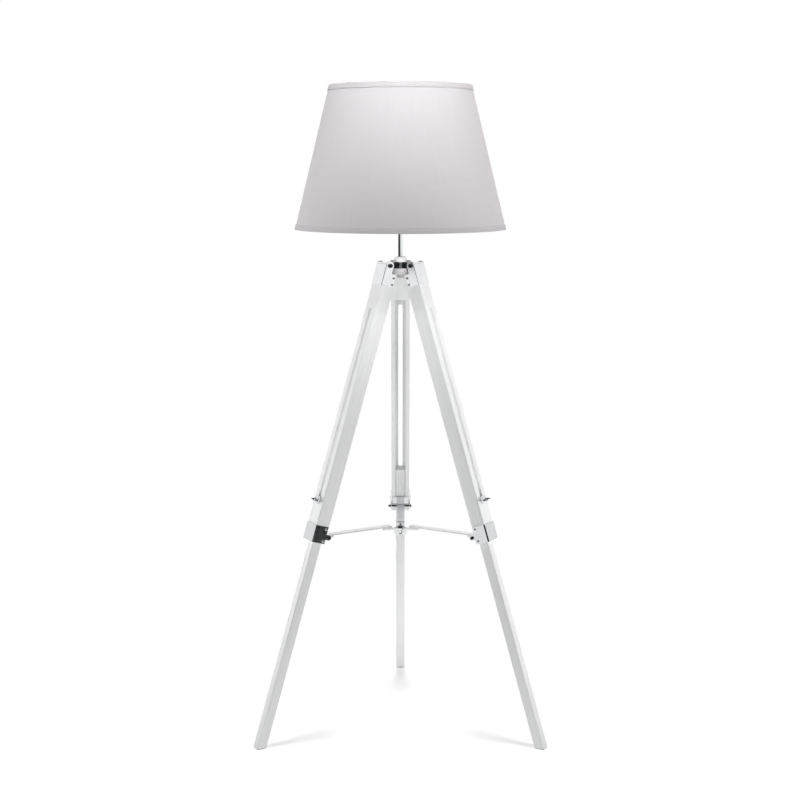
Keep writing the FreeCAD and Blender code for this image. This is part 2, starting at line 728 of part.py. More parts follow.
collar_top = f"({HUB_TOP} + collar_height)"
piece(
    "collar",
    turned(
        "collar",
        [
            ("pole_radius + fit_gap", HUB_TOP),
            ("collar_radius", HUB_TOP),
            ("collar_radius", f"{collar_top} - collar_edge"),
            ("collar_radius - collar_edge", collar_top),
            ("pole_radius + fit_gap", collar_top),
        ],
    ),
)
piece("pole", tube("pole", "pole_radius", "pole_bore", CONE_BOTTOM, POLE_TOP))
piece(
    "cord_bushing",
    tube("cord_bushing", "cone_radius", "cord_bore", f"{CONE_BOTTOM} - bushing_height", CONE_BOTTOM),
)


# Lampholder on the pole

holder_top = f"({HOLDER_BOTTOM} + holder_cap_height)"
skirt_top = f"({holder_top} + skirt_height)"
insert_low = f"({POLE_TOP} + 1)"
shell_outer = "(shell_radius + shell_wall)"
piece(
    "holder_cap",
    turned(
        "holder_cap",
        [
            ("pole_radius + fit_gap", HOLDER_BOTTOM),
            ("holder_radius*0.55", HOLDER_BOTTOM),
            ("holder_radius", f"{HOLDER_BOTTOM} + holder_cap_height*0.6"),
            ("holder_radius", holder_top),
            ("holder_radius - holder_wall", holder_top),
            ("holder_radius - holder_wall", insert_low),
            ("pole_radius + fit_gap", insert_low),
        ],
    ),
)
piece("holder_skirt", tube("holder_skirt", "skirt_radius", f"{shell_outer} + 2.5", holder_top, skirt_top))
shell_low = f"({insert_low} + insert_height)"
insert_radius = "holder_radius - holder_wall - fit_gap"
piece("holder_insert", tube("holder_insert", insert_radius, "contact_bore", insert_low, shell_low))
piece("screw_shell", tube("screw_shell", shell_outer, "shell_radius", shell_low, f"{skirt_top} - 3"))

carrier_low = f"({holder_top} + ring_rise)"
carrier_high = f"({carrier_low} + fitter_thickness)"
ring_bore = "skirt_radius + thread_gap"
for name, low, high in (
    ("shade_ring_lower", f"{carrier_low} - ring_height", carrier_low),
    ("shade_ring_upper", carrier_high, f"{carrier_high} + ring_height"),
):
    piece(name, tube(name, "ring_radius", ring_bore, low, high))

bulb_low = f"({shell_low} + 2)"
piece("bulb_cap", tube("bulb_cap", "shell_radius - thread_gap", "shell_radius - 1.5", bulb_low, skirt_top))
belly = f"({skirt_top} + bulb_height - bulb_radius)"


def bulb_line(inset):
    """Half outline of the bulb from its neck to its crown, drawn inside by an inset."""
    rounds = [(0.5, 0.866), (0.866, 0.5), (1, 0)]
    neck = [(f"shell_radius - {inset}", skirt_top), (f"shell_radius - {inset}", f"{skirt_top} + 6")]
    dome = [(f"(bulb_radius - {inset})*{c}", f"{belly} + (bulb_radius - {inset})*{s}") for s, c in rounds]
    low = [(f"(bulb_radius - {inset})*0.94", f"{belly} - bulb_radius*0.34")]
    return neck + low + [(f"bulb_radius - {inset}", belly)] + dome


outside = bulb_line("0")
inside = bulb_line("bulb_wall")
piece("bulb_glass", turned("bulb_glass", outside + inside[::-1]))


# Shade: cloth cone, tape trims, wire rings and the carrier

slope = "((shade_low_radius - shade_high_radius)/shade_height)"


def shade_radius(height, inset):
    """Radius of the shade's outer surface at a height, less an inset."""
    return f"(shade_low_radius - ({height} - {SHADE_BOTTOM})*{slope} - ({inset}))"


def cone_ring(name, low, high, outer, inner):
    """Ring of the shade's slope between two heights, from an outer to an inner inset."""
    return turned(
        name,
        [
            (shade_radius(low, inner), low),
            (shade_radius(low, outer), low),
            (shade_radius(high, outer), high),
            (shade_radius(high, inner), high),
        ],
    )


cloth_low = f"({SHADE_BOTTOM} + trim)"
cloth_high = f"({SHADE_TOP} - trim)"
piece("shade_cover", cone_ring("shade_cover", cloth_low, cloth_high, "trim", "trim + cloth"))


def make_trim(name, edge, lip, far):
    """Tape folded over an edge of the cloth: outer band, rim and inner band."""
    return turned(
        name,
        [
            (shade_radius(edge, "0"), edge),
            (shade_radius(far, "0"), far),
            (shade_radius(far, "trim"), far),
            (shade_radius(lip, "trim"), lip),
            (shade_radius(lip, "trim + cloth"), lip),
            (shade_radius(far, "trim + cloth"), far),
            (shade_radius(far, "2*trim + cloth"), far),
            (shade_radius(edge, "2*trim + cloth"), edge),
        ],
    )


for name, edge, lip, far in (
    ("shade_trim_top", SHADE_TOP, cloth_high, f"({SHADE_TOP} - trim_height)"),
    ("shade_trim_bottom", SHADE_BOTTOM, cloth_low, f"({SHADE_BOTTOM} + trim_height)"),
):
    piece(name, make_trim(name, edge, lip, far))

wire_inset = "2*trim + cloth + wire_gap + wire*1.04"


def wire_ring(name, height):
    """Wire hoop just inside the trim."""
    hoop = doc.addObject("Part::Torus", name)
    bind(hoop, "Radius1", shade_radius(height, wire_inset))
    bind(hoop, "Radius2", "wire")
    bind(hoop, "Placement.Base.z", height)
    return hoop


ring_high = f"({SHADE_TOP} - trim_height/2)"
ring_low = f"({SHADE_BOTTOM} + trim_height/2)"
piece("shade_ring_wire", group("shade_ring_wire", [wire_ring("top_hoop", ring_high)]))

fitter_outer = f"({ring_bore} + fitter_width)"
fitter = tube("fitter", fitter_outer, ring_bore, carrier_low, carrier_high)
spoke_parts = []
for leg, azimuth in LEGS.items():
    start = FreeCAD.Vector(0, number(f"{fitter_outer} - 1"), number(f"{carrier_low} + fitter_thickness/2"))
    end = FreeCAD.Vector(0, number(shade_radius(ring_low, wire_inset)), number(ring_low))
    spoke = doc.addObject("Part::Cylinder", f"spoke_{leg}")
    bind(spoke, "Radius", "wire")
    spoke.Height = (end - start).Length
    aim = FreeCAD.Rotation(Z_AXIS, end - start)
    spoke.Placement = turn_place(azimuth + 60).multiply(FreeCAD.Placement(start, aim))
    spoke_parts.append(spoke)
piece("shade_carrier", joined("shade_carrier", [wire_ring("bottom_hoop", ring_low), fitter, *spoke_parts]))


# Put every piece in its place, test it and write it

doc.recompute()
for obj, placement in PIECES:
    obj.Placement = placement
doc.recompute()
for obj in doc.Objects:
    faults = {"Invalid", "Error"} & set(obj.State)
    if faults:
        raise RuntimeError(f"{obj.Label}: {faults}")
for obj, placement in PIECES:
    shape = obj.Shape
    if shape.isNull() or not shape.isValid() or not shape.Solids:
        raise RuntimeError(f"{obj.Label}: bad shape")
    shape.exportStep(f"parts/{obj.Label}.step")
    print(obj.Label, len(shape.Solids), round(shape.Volume / 1000, 2))
print(len(PIECES), "pieces")
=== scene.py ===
# %% [markdown]
# # Dressing a wooden tripod floor lamp
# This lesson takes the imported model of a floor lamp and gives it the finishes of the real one. The lamp
# stands on three white legs with sliding lower halves, and carries a tapered cloth shade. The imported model
# already has the right shapes for wood and metal, so most cells only paint. The cloth and the wood screws
# are made anew.

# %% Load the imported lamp
import math

import bmesh
import bpy
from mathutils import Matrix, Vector, noise


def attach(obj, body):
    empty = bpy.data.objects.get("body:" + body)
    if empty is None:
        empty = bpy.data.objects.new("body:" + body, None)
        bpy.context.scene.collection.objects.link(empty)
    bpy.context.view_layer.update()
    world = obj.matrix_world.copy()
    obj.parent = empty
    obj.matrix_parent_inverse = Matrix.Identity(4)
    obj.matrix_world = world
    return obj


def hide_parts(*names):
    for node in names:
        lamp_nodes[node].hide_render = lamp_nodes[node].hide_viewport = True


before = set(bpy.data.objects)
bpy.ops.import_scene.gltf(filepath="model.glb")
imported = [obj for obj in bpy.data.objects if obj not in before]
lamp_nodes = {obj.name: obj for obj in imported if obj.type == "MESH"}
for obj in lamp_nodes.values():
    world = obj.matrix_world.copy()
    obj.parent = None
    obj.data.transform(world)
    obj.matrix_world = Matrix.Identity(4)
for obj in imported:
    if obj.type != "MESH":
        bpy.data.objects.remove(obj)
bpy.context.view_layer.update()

LEGS = {"left": 210, "right": 330, "rear": 90}

# %% [markdown]
# ## The camera
# The photograph was taken from a little above the middle of the lamp, tilted down, with a long lens. Those
# four numbers could be tried by eye, but the legs are straight bars of known size, so they were worked out
# from the corners of the legs. A camera looks along its own -Z axis, which is why it is turned by a quarter
# before the tilt.

# %% Place the camera
TILT = 9.05
camera_data = bpy.data.cameras.new("photo_camera")
camera_data.sensor_width = 36.0
camera_data.lens = 66.89
camera = bpy.data.objects.new("photo_camera", camera_data)
camera.location = (-0.001, -3.3166, 1.2813)
camera.rotation_euler = (math.radians(90 - TILT), 0, 0)
bpy.context.scene.collection.objects.link(camera)
bpy.context.scene.camera = camera
bpy.context.scene.view_settings.view_transform = "Standard"
print(f"camera looks down by {TILT} degrees")

# %% [markdown]
# ## The white room
# The lamp stands in a bright white studio. Two things are wanted at once: a background that is plain white,
# and light on the lamp that is gentle enough to show its shapes. So the world answers two ways. A ray that
# comes from the camera, a mirror or glass sees white. Any other ray sees a soft grey sky, a little brighter
# overhead.

# %% Make the world
def add_node(tree, kind, inputs=(), **traits):
    """One node; an input is given a value, or is linked when it gets another node's output."""
    made = tree.nodes.new(kind)
    for trait, value in traits.items():
        setattr(made, trait, value)
    for socket, value in dict(inputs).items():
        if isinstance(value, bpy.types.NodeSocket):
            tree.links.new(value, made.inputs[socket])
        else:
            made.inputs[socket].default_value = value
    return made


def combined(tree, operation, first, second):
    """Two values made into one, such as their sum or the larger one."""
    return add_node(tree, "ShaderNodeMath", {0: first, 1: second}, operation=operation).outputs[0]


def spread(tree, value, low, high):
    """A number between two limits as a value goes from nought to one."""
    return add_node(tree, "ShaderNodeMapRange", {"Value": value, "To Min": low, "To Max": high}).outputs[0]


def seen_directly(tree):
    """One for rays from the camera, a mirror or glass, and nought for the rest."""
    path = add_node(tree, "ShaderNodeLightPath")
    mirrored = combined(tree, "MAXIMUM", path.outputs["Is Camera Ray"], path.outputs["Is Glossy Ray"])
    return combined(tree, "MAXIMUM", mirrored, path.outputs["Is Transmission Ray"])


WHITE = (1.0, 1.0, 1.0, 1.0)
room = bpy.data.worlds.new("white_room")
bpy.context.scene.world = room
room.use_nodes = True
tree = room.node_tree
tree.nodes.clear()
aim = add_node(tree, "ShaderNodeTexCoord")
height = add_node(tree, "ShaderNodeSeparateXYZ", {"Vector": aim.outputs["Generated"]})
overhead = spread(tree, height.outputs["Z"], 0.24, 0.27)
sky = add_node(tree, "ShaderNodeBackground", {"Color": WHITE, "Strength": overhead})
white = add_node(tree, "ShaderNodeBackground", {"Color": WHITE, "Strength": 1.0})
both = add_node(tree, "ShaderNodeMixShader",
                {0: seen_directly(tree), 1: sky.outputs[0], 2: white.outputs[0]})
add_node(tree, "ShaderNodeOutputWorld", {"Surface": both.outputs[0]})
print("world: white to the camera, a soft sky to the lamp")

# %% [markdown]
# The floor is a wide sheet that fades into the white room, so no edge shows. It could simply be white, but
# then the legs would seem to float. A part of its brightness is its own glow and a part is light that falls
# on it, so a shadow can show. To the legs it sends an even light upward, as a white studio floor does.

# %% Lay the floor
def on_surface(tree):
    """Places on a piece, in metres, to lay a pattern on."""
    return add_node(tree, "ShaderNodeTexCoord").outputs["Object"]


def speckle(tree, places, scale, detail, distortion=0.0):
    """A noise over a surface, as a value from nought to one."""
    settings = {"Vector": places, "Scale": scale, "Detail": detail, "Distortion": distortion}
    return add_node(tree, "ShaderNodeTexNoise", settings).outputs["Fac"]


REACH = 30.0
floor_corners = [(-REACH, -REACH, 0), (REACH, -REACH, 0), (REACH, REACH, 0), (-REACH, REACH, 0)]
floor_mesh = bpy.data.meshes.new("studio_floor")
floor_mesh.from_pydata(floor_corners, [], [(0, 1, 2, 3)])
floor = bpy.data.objects.new("studio_floor", floor_mesh)
bpy.context.scene.collection.objects.link(floor)
floor_paint = bpy.data.materials.new("studio_floor_paint")
floor_paint.use_nodes = True
tree = floor_paint.node_tree
tree.nodes.clear()
paint_tone = spread(tree, speckle(tree, on_surface(tree), 2.0, 3.0), 0.83, 0.87)
lit = add_node(tree, "ShaderNodeBsdfDiffuse", {"Color": paint_tone})
glow = add_node(tree, "ShaderNodeEmission", {"Color": WHITE, "Strength": 0.48})
lit_and_glow = add_node(tree, "ShaderNodeAddShader", {0: lit.outputs[0], 1: glow.outputs[0]})
pale = add_node(tree, "ShaderNodeBsdfDiffuse", {"Color": (0.8, 0.8, 0.8, 1.0)})
upward = add_node(tree, "ShaderNodeEmission", {"Color": WHITE, "Strength": 0.24})
bounce = add_node(tree, "ShaderNodeAddShader", {0: pale.outputs[0], 1: upward.outputs[0]})
chosen = add_node(tree, "ShaderNodeMixShader",
                  {0: seen_directly(tree), 1: bounce.outputs[0], 2: lit_and_glow.outputs[0]})
add_node(tree, "ShaderNodeOutputMaterial", {"Surface": chosen.outputs[0]})
floor_mesh.materials.append(floor_paint)
print("floor: pale, with a glow of its own")

# %% [markdown]
# The light that falls on the floor comes from one lamp overhead. A lamp that lit everything would flatten
# the legs, so this one lights nothing but the floor, and nothing but the legs' lower halves and foot pads
# blocks it. Groups of pieces tell a lamp this. Each foot leaves a faint soft shadow, and the middle of the
# floor stays white.

# %% Light the floor
def light_group(name, pieces, state):
    """A group of pieces that a lamp is told to include or to exclude."""
    group = bpy.data.collections.new(name)
    for piece in pieces:
        group.objects.link(piece)
    for member in group.collection_objects:
        member.light_linking.link_state = state
    return group


overhead_data = bpy.data.lights.new("overhead_lamp", "SUN")
overhead_data.energy = 1.15
overhead_data.angle = math.radians(8)
overhead_lamp = bpy.data.objects.new("overhead_lamp", overhead_data)
overhead_lamp.location = (0, 0, 3)
bpy.context.scene.collection.objects.link(overhead_lamp)
standing = [lamp_nodes[f"{part}_{leg}"] for part in ("lower_leg", "foot_pad") for leg in LEGS]
overhead_lamp.light_linking.receiver_collection = light_group("floor_only", [floor], "INCLUDE")
overhead_lamp.light_linking.blocker_collection = light_group("standing_parts", standing, "INCLUDE")
off_the_floor = light_group("off_the_floor", [floor], "EXCLUDE")
print("one lamp for the floor, with the legs' shadows kept")

# %% [markdown]
# Soft lamps shape the object. One large lamp would be simpler, but the cloth and the legs each want their
# own slope from light to dark. Two lamps hang above the shade in front, so the cloth is brightest near its
# top and falls off towards the lower rim. Two stand at the sides for the legs' outer faces, one stands
# behind for views from the back, and small ones fill the feet, the leg tops, the hub and the rear leg. A
# lamp's fan keeps its light in a narrow cone, so each is set without touching the others.

# %% Hang the soft lamps
def soft_lamp(name, place, aim, size, power, fan):
    """A flat studio lamp at a place, turned towards a point, with its light fanning out by an angle."""
    data = bpy.data.lights.new(name, "AREA")
    data.shape = "RECTANGLE"
    data.size, data.size_y = size
    data.energy = power
    data.spread = math.radians(fan)
    lamp = bpy.data.objects.new(name, data)
    lamp.location = place
    lamp.rotation_euler = (Vector(aim) - Vector(place)).to_track_quat("-Z", "Y").to_euler()
    lamp.visible_camera = False
    lamp.visible_glossy = False
    lamp.light_linking.receiver_collection = off_the_floor
    bpy.context.scene.collection.objects.link(lamp)
    return lamp


SOFT_LAMPS = {
    # name: place, aim, size, power, fan
    "shade_lamp": ((0.0, -1.6, 2.6), (0, -0.15, 1.66), (0.3, 0.3), 1.55, 34),
    "shade_side_lamp": ((1.1, -1.3, 2.6), (0.05, -0.1, 1.56), (0.4, 0.4), 0.17, 34),
    "left_lamp": ((-2.0, 0.4, 0.77), (0, 0, 0.73), (0.8, 0.8), 3.4, 64),
    "right_lamp": ((2.0, 0, 0.8), (0, 0, 0.8), (0.8, 0.8), 3.1, 70),
    "low_left_lamp": ((-2.0, 0.4, 0.25), (-0.2, -0.05, 0.3), (0.5, 0.5), 0.33, 36),
    "low_right_lamp": ((2.0, 0.4, 0.25), (0.2, -0.05, 0.3), (0.5, 0.5), 0.70, 36),
    "foot_lamp": ((0, -2.2, 0.12), (0, 0, 0.03), (1.0, 0.1), 0.12, 14),
    "rear_leg_lamp": ((0, -1.6, 0.3), (0, 0.2, 0.62), (0.1, 0.3), 0.06, 18),
    "rear_foot_lamp": ((0, -1.6, 0.3), (0, 0.29, 0.18), (0.15, 0.3), 0.126, 18),
    "back_lamp": ((0.3, 2.8, 1.7), (0, 0, 0.9), (1.2, 1.2), 10, 180),
}
for name, setting in SOFT_LAMPS.items():
    soft_lamp(name, *setting)

FEW_PIECE_LAMPS = {
    # name: place, aim, size, power, fan, and the pieces that it lights
    "leg_top_lamp": ((0.35, -1.3, 0.57), (-0.02, 0, 0.98), (0.25, 0.25), 0.13, 22,
                     ("upper_leg_left", "upper_leg_right", "leg_cap_left", "leg_cap_right")),
    "hub_lamp": ((0.2, -1.35, 1.0), (0, 0, 1.06), (0.25, 0.25), 0.24, 22, ("hub", "collar")),
    "rear_top_lamp": ((0, -1.5, 0.75), (0, 0.08, 0.97), (0.1, 0.2), 0.032, 14,
                      ("upper_leg_rear", "lower_leg_rear")),
}
for name, (*setting, lit_names) in FEW_PIECE_LAMPS.items():
    lit_pieces = light_group(f"lit_by_{name}", [lamp_nodes[piece] for piece in lit_names], "INCLUDE")
    soft_lamp(name, *setting).light_linking.receiver_collection = lit_pieces
print(f"{len(SOFT_LAMPS)} lamps for every piece, {len(FEW_PIECE_LAMPS)} for a few pieces")

# %% [markdown]
# Polished metal only looks like metal when it has something dark to mirror. A photographer puts dark
# screens round the camera for this. Each one here is a strip bent round the lamp: for the left half of the
# pole, for the drum of the hub, for the folds of a bracket and a cap, and a low one on the right that makes
# one side of a bracket black. They are seen by mirrors only, so they neither show nor cast a shadow.

# %% Put up the dark screens
SCREENS = {
    # name: distance from the pole, first and last angle from the camera to the right, lower and upper edge
    "pole_screen": (1.7, -172, -8, 0.94, 1.09),
    "hub_screen_left": (1.7, -50, 46, 0.934, 0.97),
    "hub_screen_right": (1.7, 72, 150, 0.934, 0.97),
    "bracket_screen": (1.2, -60, 100, 0.28, 0.80),
    "cap_screen": (2.4, -58, -12, 1.25, 2.15),
    "low_screen": (1.5, 34, 53, 0.002, 0.45),
}
screen_paint = bpy.data.materials.new("dark_screen")
screen_paint.use_nodes = True
screen_shader = screen_paint.node_tree.nodes["Principled BSDF"]
screen_shader.inputs["Base Color"].default_value = (0.012, 0.012, 0.013, 1.0)
screen_shader.inputs["Roughness"].default_value = 0.9


def dark_screen(name, distance, first, last, low, high):
    """An upright strip bent round the lamp, seen only in polished metal."""
    steps = 24
    angles = [math.radians(first + (last - first)*k/steps) for k in range(steps + 1)]
    corners = [(distance*math.sin(angle), -distance*math.cos(angle), z)
               for angle in angles for z in (low, high)]
    mesh = bpy.data.meshes.new(name)
    mesh.from_pydata(corners, [], [(2*k, 2*k + 2, 2*k + 3, 2*k + 1) for k in range(steps)])
    screen = bpy.data.objects.new(name, mesh)
    bpy.context.scene.collection.objects.link(screen)
    mesh.materials.append(screen_paint)
    for ray in ("camera", "diffuse", "transmission", "volume_scatter", "shadow"):
        setattr(screen, f"visible_{ray}", False)


for name, place in SCREENS.items():
    dark_screen(name, *place)
print(f"{len(SCREENS)} dark screens")

# %% [markdown]
# ## A start for every finish
# Each finish begins as the standard shader with a few plain settings. Numbers that are the same all over a
# surface go straight on the shader. Only what changes from place to place comes from other nodes.

# %% Begin a finish
def new_finish(name, **settings):
    """A material and its shader, with plain settings on it."""
    material = bpy.data.materials.new(name)
    material.use_nodes = True
    shader = material.node_tree.nodes["Principled BSDF"]
    for socket, value in settings.items():
        shader.inputs[socket.replace("_", " ")].default_value = value
    return material, material.node_tree, shader


def tones(tree, value, low, high, start=0.3, end=0.7):
    """A colour that goes from one tone to another as a value rises."""
    ramp = add_node(tree, "ShaderNodeValToRGB", {"Fac": value})
    for stop, place, colour in zip(ramp.color_ramp.elements, (start, end), (low, high)):
        stop.position = place
        stop.color = (*colour, 1.0)
    return ramp.outputs["Color"]


def stretched(tree, places, scale):
    """The same places, multiplied by a scale along each axis."""
    return add_node(tree, "ShaderNodeMapping", {"Vector": places, "Scale": scale}).outputs[0]


def bumped(tree, height, strength, distance, below=None):
    """A relief that follows a value, laid over another relief where one is given."""
    settings = {"Height": height, "Strength": strength, "Distance": distance}
    if below is not None:
        settings["Normal"] = below
    return add_node(tree, "ShaderNodeBump", settings).outputs[0]


def paint(material, *names):
    """Give named CAD pieces this finish in their material slots."""
    for name in names:
        for slot in lamp_nodes[name].material_slots:
            slot.material = material


print("finish helpers ready")

# %% [markdown]
# ## White painted wood
# The legs are sawn softwood under satin white paint. Under the paint the grain still shows as long shallow
# ridges, and the brush leaves finer lines in the same direction. A leg leans, so the pattern needs the
# leg's own axes. A mapping node of the texture kind moves the hinge to nought and turns the leaning leg
# upright before the noise is stretched along it.

# %% Paint the legs
HINGE_RADIUS, HINGE_HEIGHT, LEAN = 0.0394, 1.0583, math.radians(17.48)


def painted_wood(name, azimuth, dark, light):
    """Satin white paint over grain that runs along one leg, between two tones."""
    material, tree, shader = new_finish(name, Coat_Weight=0.12, Coat_Roughness=0.3)
    angle = math.radians(azimuth)
    hinge = (HINGE_RADIUS*math.cos(angle), HINGE_RADIUS*math.sin(angle), HINGE_HEIGHT)
    turned = add_node(tree, "ShaderNodeMapping", {"Vector": on_surface(tree), "Location": hinge,
                      "Rotation": (LEAN, 0, angle - math.pi/2)}, vector_type="TEXTURE")
    along = turned.outputs[0]
    grain = speckle(tree, stretched(tree, along, (170, 170, 5)), 1.0, 5.0, 0.7)
    strokes = speckle(tree, stretched(tree, along, (900, 900, 14)), 1.0, 2.0)
    tree.links.new(tones(tree, grain, dark, light), shader.inputs["Base Color"])
    tree.links.new(spread(tree, strokes, 0.34, 0.52), shader.inputs["Roughness"])
    corner = add_node(tree, "ShaderNodeBevel", {"Radius": 0.0012}, samples=4)
    ridges = bumped(tree, grain, 0.25, 0.0004, corner.outputs[0])
    tree.links.new(bumped(tree, strokes, 0.2, 0.0002, ridges), shader.inputs["Normal"])
    return material


# painted shade: the lower legs get darker tones than the upper ones, standing in for the less light that
# reaches them
LEG_TONES_LOWER_SHADED = {"upper_leg": ((0.825, 0.83, 0.835), (0.885, 0.888, 0.89)),
             "lower_leg": ((0.785, 0.79, 0.795), (0.84, 0.843, 0.845))}
for leg, azimuth in LEGS.items():
    for part, (dark, light) in LEG_TONES_LOWER_SHADED.items():
        paint(painted_wood(f"white_paint_{part}_{leg}", azimuth, dark, light), f"{part}_{leg}")
print("three legs painted, grain along each")

# %% [markdown]
# ## Chrome, zinc and black steel
# Caps, brackets, clamp plates, wing nuts and pole are bright chrome. The arms and their pins are duller
# zinc, the bolts are blackened, and the hub has a black drum above a pale painted flange. One recipe gives
# them all. A perfect mirror looks drawn, so a slow cloudiness changes its roughness as fingers and polish
# do, and a fine ripple bends the reflections a little. The sheet's bends are real shapes, and a bevel node
# only softens the light at sharp edges.

# %% Plate the metal
def plated(name, colour, dull, bright, ripple, bend, split=None):
    """Metal with cloudy gloss, a ripple and soft edges; a split gives another finish above a height."""
    material, tree, shader = new_finish(name, Metallic=1.0)
    places = on_surface(tree)
    clouds = speckle(tree, places, 45.0, 4.0)
    pits = speckle(tree, places, 420.0, 2.0)
    darker = tuple(0.93*part for part in colour)
    plate = tones(tree, clouds, darker, colour)
    gloss = spread(tree, clouds, bright, dull)
    if split:
        height, upper, upper_gloss = split
        level = add_node(tree, "ShaderNodeSeparateXYZ", {"Vector": places})
        above = combined(tree, "GREATER_THAN", level.outputs["Z"], height)
        mixed = add_node(tree, "ShaderNodeMixRGB", {"Fac": above, "Color1": plate, "Color2": (*upper, 1.0)})
        plate = mixed.outputs[0]
        gloss = spread(tree, above, dull, upper_gloss)
        tree.links.new(above, shader.inputs["Metallic"])
    tree.links.new(plate, shader.inputs["Base Color"])
    tree.links.new(gloss, shader.inputs["Roughness"])
    edge = add_node(tree, "ShaderNodeBevel", {"Radius": bend}, samples=8)
    tree.links.new(bumped(tree, pits, ripple, 0.0001, edge.outputs[0]), shader.inputs["Normal"])
    return material


chrome = plated("bright_chrome", (0.78, 0.80, 0.80), 0.13, 0.04, 0.06, 0.0004)
cap_chrome = plated("cap_chrome", (0.84, 0.855, 0.86), 0.13, 0.05, 0.06, 0.0006)
bracket_chrome = plated("bracket_chrome", (0.70, 0.715, 0.72), 0.13, 0.05, 0.06, 0.0006)
zinc = plated("zinc_plate", (0.86, 0.865, 0.88), 0.46, 0.34, 0.15, 0.0005)
# black steel for the bolts, also used as painted shade on the floor of the screws' crosses
black_steel_and_recess_shade = plated("black_steel_and_recess_shade", (0.06, 0.06, 0.065), 0.36, 0.2, 0.15, 0.0005)
for leg in LEGS:
    paint(cap_chrome, f"leg_cap_{leg}")
    paint(bracket_chrome, f"leg_bracket_{leg}", f"clamp_plate_{leg}")
    paint(chrome, f"wing_nut_{leg}")
    paint(zinc, *(f"{part}_{leg}" for part in ("spreader_arm", "arm_pin")))
    paint(black_steel_and_recess_shade, *(f"{part}_{leg}" for part in ("hinge_bolt", "pivot_bolt", "slot_bolt")))
paint(chrome, "pole", "spreader_plate", "spreader_wing_nut")
paint(black_steel_and_recess_shade, "spreader_bolt")
DRUM_BOTTOM = 1.0508
black_drum = (DRUM_BOTTOM, (0.2, 0.2, 0.21), 0.12)
paint(plated("hub_metal", (0.66, 0.645, 0.655), 0.45, 0.35, 0.1, 0.0005, split=black_drum), "hub")
print("caps, brackets, arms, bolts and hub plated")

# %% [markdown]
# ## Wood screws
# Eight wood screws hold the cap and the bracket of each leg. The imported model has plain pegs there, which
# say where a screw is and which way it points. A real one has a domed head with a cross in it, and a thread
# in the wood. The cross could be cut out with a boolean, but rings of points are tidier. From the middle
# out, a screw is a stack of rings with the same number of points, and the two innermost rings follow a
# cross instead of a circle.

# %% Find the pegs
def pegs(mesh):
    """The separate solids of a mesh, each as a list of its points."""
    shell = bmesh.new()
    shell.from_mesh(mesh)
    bmesh.ops.remove_doubles(shell, verts=shell.verts, dist=1e-6)
    waiting = set(shell.verts)
    found = []
    while waiting:
        reached = [waiting.pop()]
        for vert in reached:
            beside = {edge.other_vert(vert) for edge in vert.link_edges} & waiting
            waiting -= beside
            reached.extend(beside)
        found.append([vert.co.copy() for vert in reached])
    shell.free()
    return sorted(found, key=lambda points: (points[0].x + points[0].y, points[0].z))


peg_lists = {leg: pegs(lamp_nodes[f"leg_screws_{leg}"].data) for leg in LEGS}
print({leg: len(found) for leg, found in peg_lists.items()}, "screws")

# %% Draw the rings of a screw
RING_POINTS = 24
HEAD_RADIUS, HEAD_RISE, DOME_DROP = 0.003, 0.0014, 0.0006
DOME_SHARES = (0.7, 0.9)
HEAD_RIM = ((0.98, 0.0006), (1, 0.0004), (1, 0))
CROSS_REACH, CROSS_HALF_WIDTH, CROSS_FLOOR_SHARE = 0.00175, 0.00045, 0.7
CROSS_DEPTH, CROSS_MIDDLE_DEPTH = 0.0009, 0.00099
SHANK_RADIUS, SCREW_LENGTH = 0.0015, 0.010
RIDGES, RIDGE_PITCH, ROOT_SHARE, TIP_TAPER = 6, 0.0013, 0.72, 0.4


def circle_ring(radius):
    """Points evenly round a circle."""
    angles = [2*math.pi*k/RING_POINTS for k in range(RING_POINTS)]
    return [(radius*math.cos(angle), radius*math.sin(angle)) for angle in angles]


def cross_ring(scale):
    """As many points round a cross, six for each of its four arms."""
    reach, half = CROSS_REACH*scale, CROSS_HALF_WIDTH*scale
    middle = (reach + half)/2
    quarter = [(reach, 0), (reach, half), (middle, half), (half, half), (half, middle), (half, reach)]
    ring = []
    for _ in range(4):
        ring += quarter
        quarter = [(-v, u) for u, v in quarter]
    return ring


def screw_rings():
    """Rings of a screw from the floor of its cross to its tip, each point with its height."""

    def domed(ring):
        return [(u, v, HEAD_RISE - DOME_DROP*(u*u + v*v)/HEAD_RADIUS**2) for u, v in ring]

    def level(ring, height):
        return [(u, v, height) for u, v in ring]

    rings = [level(cross_ring(CROSS_FLOOR_SHARE), HEAD_RISE - CROSS_DEPTH), domed(cross_ring(1.0))]
    rings += [domed(circle_ring(share*HEAD_RADIUS)) for share in DOME_SHARES]
    rings += [level(circle_ring(share*HEAD_RADIUS), rise) for share, rise in HEAD_RIM]
    rings.append(level(circle_ring(SHANK_RADIUS), 0))
    for k in range(RIDGES):
        radius = SHANK_RADIUS*(1 - TIP_TAPER*k/RIDGES)
        depth = RIDGE_PITCH*(k + 1)
        rings.append(level(circle_ring(ROOT_SHARE*radius), -depth))
        rings.append(level(circle_ring(radius), -depth - RIDGE_PITCH/2))
    return rings


print(f"{len(screw_rings())} rings of {RING_POINTS} points in a screw")

# %% [markdown]
# Each screw takes the place of its peg. The peg's flat end gives the seat, and the side of the leg says
# which way is out. All crosses could stand upright, but a driver leaves each at its own angle, so every
# screw is turned a little further than the last. The floor of the cross is painted black as shade, because
# hardly any light gets in there.

# %% Set the screws
# material slot for the floor of each cross: black, painted shade in the recess
SHADED_RECESS = 1
TURN_BETWEEN = 0.7


